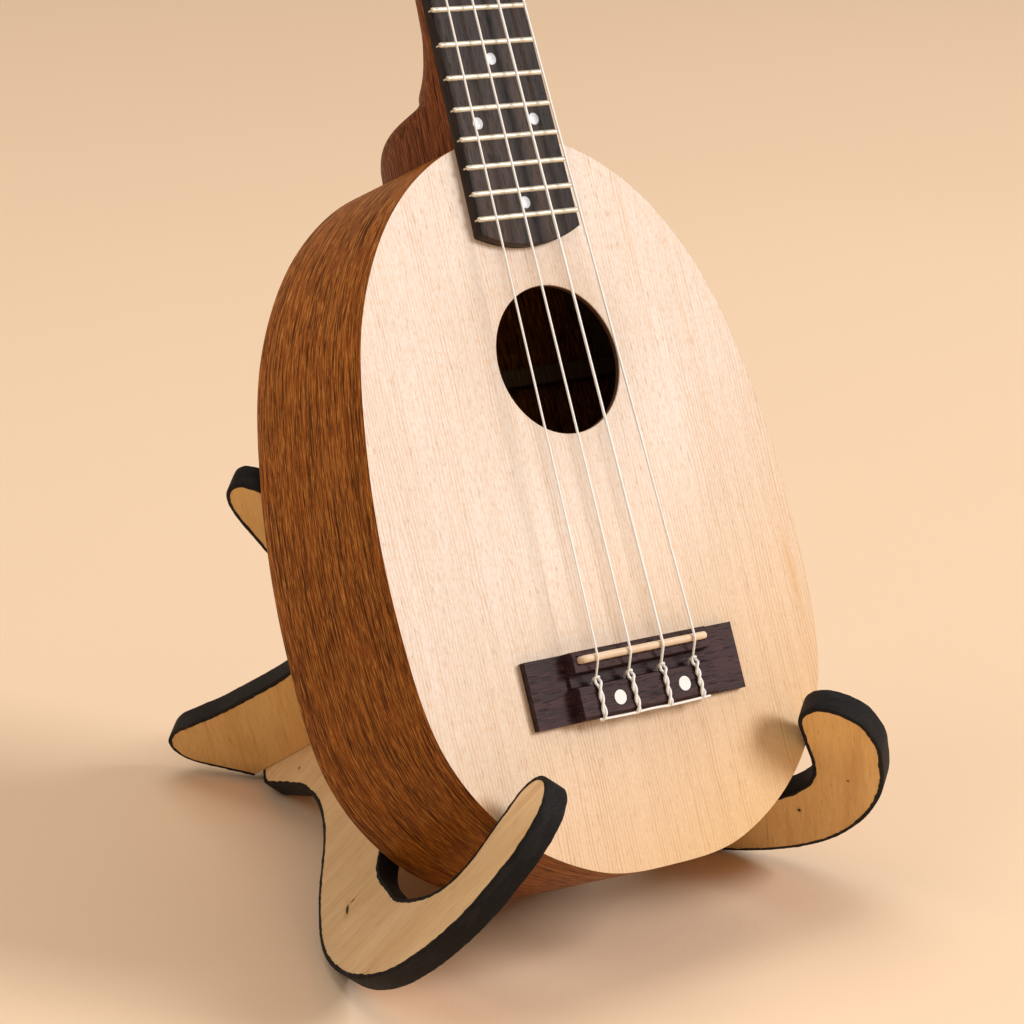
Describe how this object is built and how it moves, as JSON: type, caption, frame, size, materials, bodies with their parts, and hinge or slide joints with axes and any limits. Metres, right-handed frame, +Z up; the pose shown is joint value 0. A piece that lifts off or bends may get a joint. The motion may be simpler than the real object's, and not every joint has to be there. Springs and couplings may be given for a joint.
{
  "type": "ukulele on stand",
  "caption": "Small pineapple-shaped ukulele with a pale top and dark neck, leaning back in a cradle of crossed plywood plates edged in black.",
  "frame": {"origin": "on the floor under the middle of the bounding box", "axes": "+Z up; the soundboard and the stand's hooks face -Y; +X is to the right of someone facing the soundboard"},
  "size_m": [0.2036, 0.2804, 0.5256],
  "materials": {
    "plywood": "bare sanded plywood face, satin",
    "edge_rubber": "matte black soft edge strip",
    "soundboard_spruce": "pale straight-grained softwood, thin satin finish",
    "mahogany": "open-pored reddish brown wood, satin",
    "inner_wood": "unfinished wood",
    "rosewood": "dark oiled wood",
    "bridge_rosewood": "dark dry wood",
    "bone": "cream, softly polished",
    "pearl": "pearl white",
    "nylon": "translucent white monofilament",
    "fret_wire": "polished fret wire",
    "tuner_metal": "nickel plated",
    "tuner_button": "pearl cream button on a plated shaft"
  },
  "bodies": {
    "stand": {"stand_plate_left": "plywood", "stand_plate_right": "plywood", "edge_strip_left": "edge_rubber", "edge_strip_right": "edge_rubber"},
    "ukulele": {"soundboard": "soundboard_spruce", "back_panel": "mahogany", "side_right": "mahogany", "side_left": "mahogany", "neck_block": "inner_wood", "tail_block": "inner_wood", "top_lining_right": "inner_wood", "top_lining_left": "inner_wood", "back_lining_right": "inner_wood", "back_lining_left": "inner_wood", "top_brace_upper": "inner_wood", "top_brace_lower": "inner_wood", "back_brace_upper": "inner_wood", "back_brace_lower": "inner_wood", "neck": "mahogany", "fretboard": "rosewood", "fret_01": "fret_wire", "fret_02": "fret_wire", "fret_03": "fret_wire", "fret_04": "fret_wire", "fret_05": "fret_wire", "fret_06": "fret_wire", "fret_07": "fret_wire", "fret_08": "fret_wire", "fret_09": "fret_wire", "fret_10": "fret_wire", "fret_11": "fret_wire", "fret_12": "fret_wire", "fret_13": "fret_wire", "fret_14": "fret_wire", "fret_15": "fret_wire", "nut": "bone", "bridge": "bridge_rosewood", "bridge_screw_left": "pearl", "bridge_screw_right": "pearl", "saddle": "bone", "string_1": "nylon", "string_2": "nylon", "string_3": "nylon", "string_4": "nylon", "tuner_base_left_lower": "tuner_metal", "tuner_base_left_upper": "tuner_metal", "tuner_base_right_upper": "tuner_metal", "tuner_base_right_lower": "tuner_metal", "tuner_bushing_left_lower": "tuner_metal", "tuner_bushing_left_upper": "tuner_metal", "tuner_bushing_right_upper": "tuner_metal", "tuner_bushing_right_lower": "tuner_metal"},
    "key_left_lower": {"tuner_key_left_lower": "tuner_button"},
    "post_left_lower": {"tuner_post_left_lower": "tuner_metal"},
    "key_left_upper": {"tuner_key_left_upper": "tuner_button"},
    "post_left_upper": {"tuner_post_left_upper": "tuner_metal"},
    "key_right_upper": {"tuner_key_right_upper": "tuner_button"},
    "post_right_upper": {"tuner_post_right_upper": "tuner_metal"},
    "key_right_lower": {"tuner_key_right_lower": "tuner_button"},
    "post_right_lower": {"tuner_post_right_lower": "tuner_metal"}
  },
  "joints": [
    {"name": "ukulele_lift", "type": "slide", "parent": "stand", "child": "ukulele", "axis": [0.0616, 0.3541, 0.9332], "range_m": [0, 0.3]},
    {"name": "key_turn_left_lower", "type": "hinge", "parent": "ukulele", "child": "key_left_lower", "pos_m": [0.008, 0.09846, 0.45425], "axis": [0.9981, -0.0174, -0.0593], "continuous": true},
    {"name": "post_turn_left_lower", "type": "hinge", "parent": "ukulele", "child": "post_left_lower", "pos_m": [0.00783, 0.08247, 0.45617], "axis": [0.0185, -0.8314, 0.5553], "continuous": true},
    {"name": "key_turn_left_upper", "type": "hinge", "parent": "ukulele", "child": "key_left_upper", "pos_m": [0.01071, 0.124, 0.49241], "axis": [0.9981, -0.0174, -0.0593], "continuous": true},
    {"name": "post_turn_left_upper", "type": "hinge", "parent": "ukulele", "child": "post_left_upper", "pos_m": [0.01055, 0.10802, 0.49432], "axis": [0.0185, -0.8314, 0.5553], "continuous": true},
    {"name": "key_turn_right_upper", "type": "hinge", "parent": "ukulele", "child": "key_right_upper", "pos_m": [0.04464, 0.12341, 0.49039], "axis": [0.9981, -0.0174, -0.0593], "continuous": true},
    {"name": "post_turn_right_upper", "type": "hinge", "parent": "ukulele", "child": "post_right_upper", "pos_m": [0.04448, 0.10743, 0.49231], "axis": [0.0185, -0.8314, 0.5553], "continuous": true},
    {"name": "key_turn_right_lower", "type": "hinge", "parent": "ukulele", "child": "key_right_lower", "pos_m": [0.04193, 0.09786, 0.45224], "axis": [0.9981, -0.0174, -0.0593], "continuous": true},
    {"name": "post_turn_right_lower", "type": "hinge", "parent": "ukulele", "child": "post_right_lower", "pos_m": [0.04177, 0.08188, 0.45415], "axis": [0.0185, -0.8314, 0.5553], "continuous": true}
  ],
  "couplings": [
    {"joint": "post_turn_left_lower", "follows": "key_turn_left_lower", "ratio": -0.071429},
    {"joint": "post_turn_left_upper", "follows": "key_turn_left_upper", "ratio": -0.071429},
    {"joint": "post_turn_right_upper", "follows": "key_turn_right_upper", "ratio": 0.071429},
    {"joint": "post_turn_right_lower", "follows": "key_turn_right_lower", "ratio": 0.071429}
  ]
}
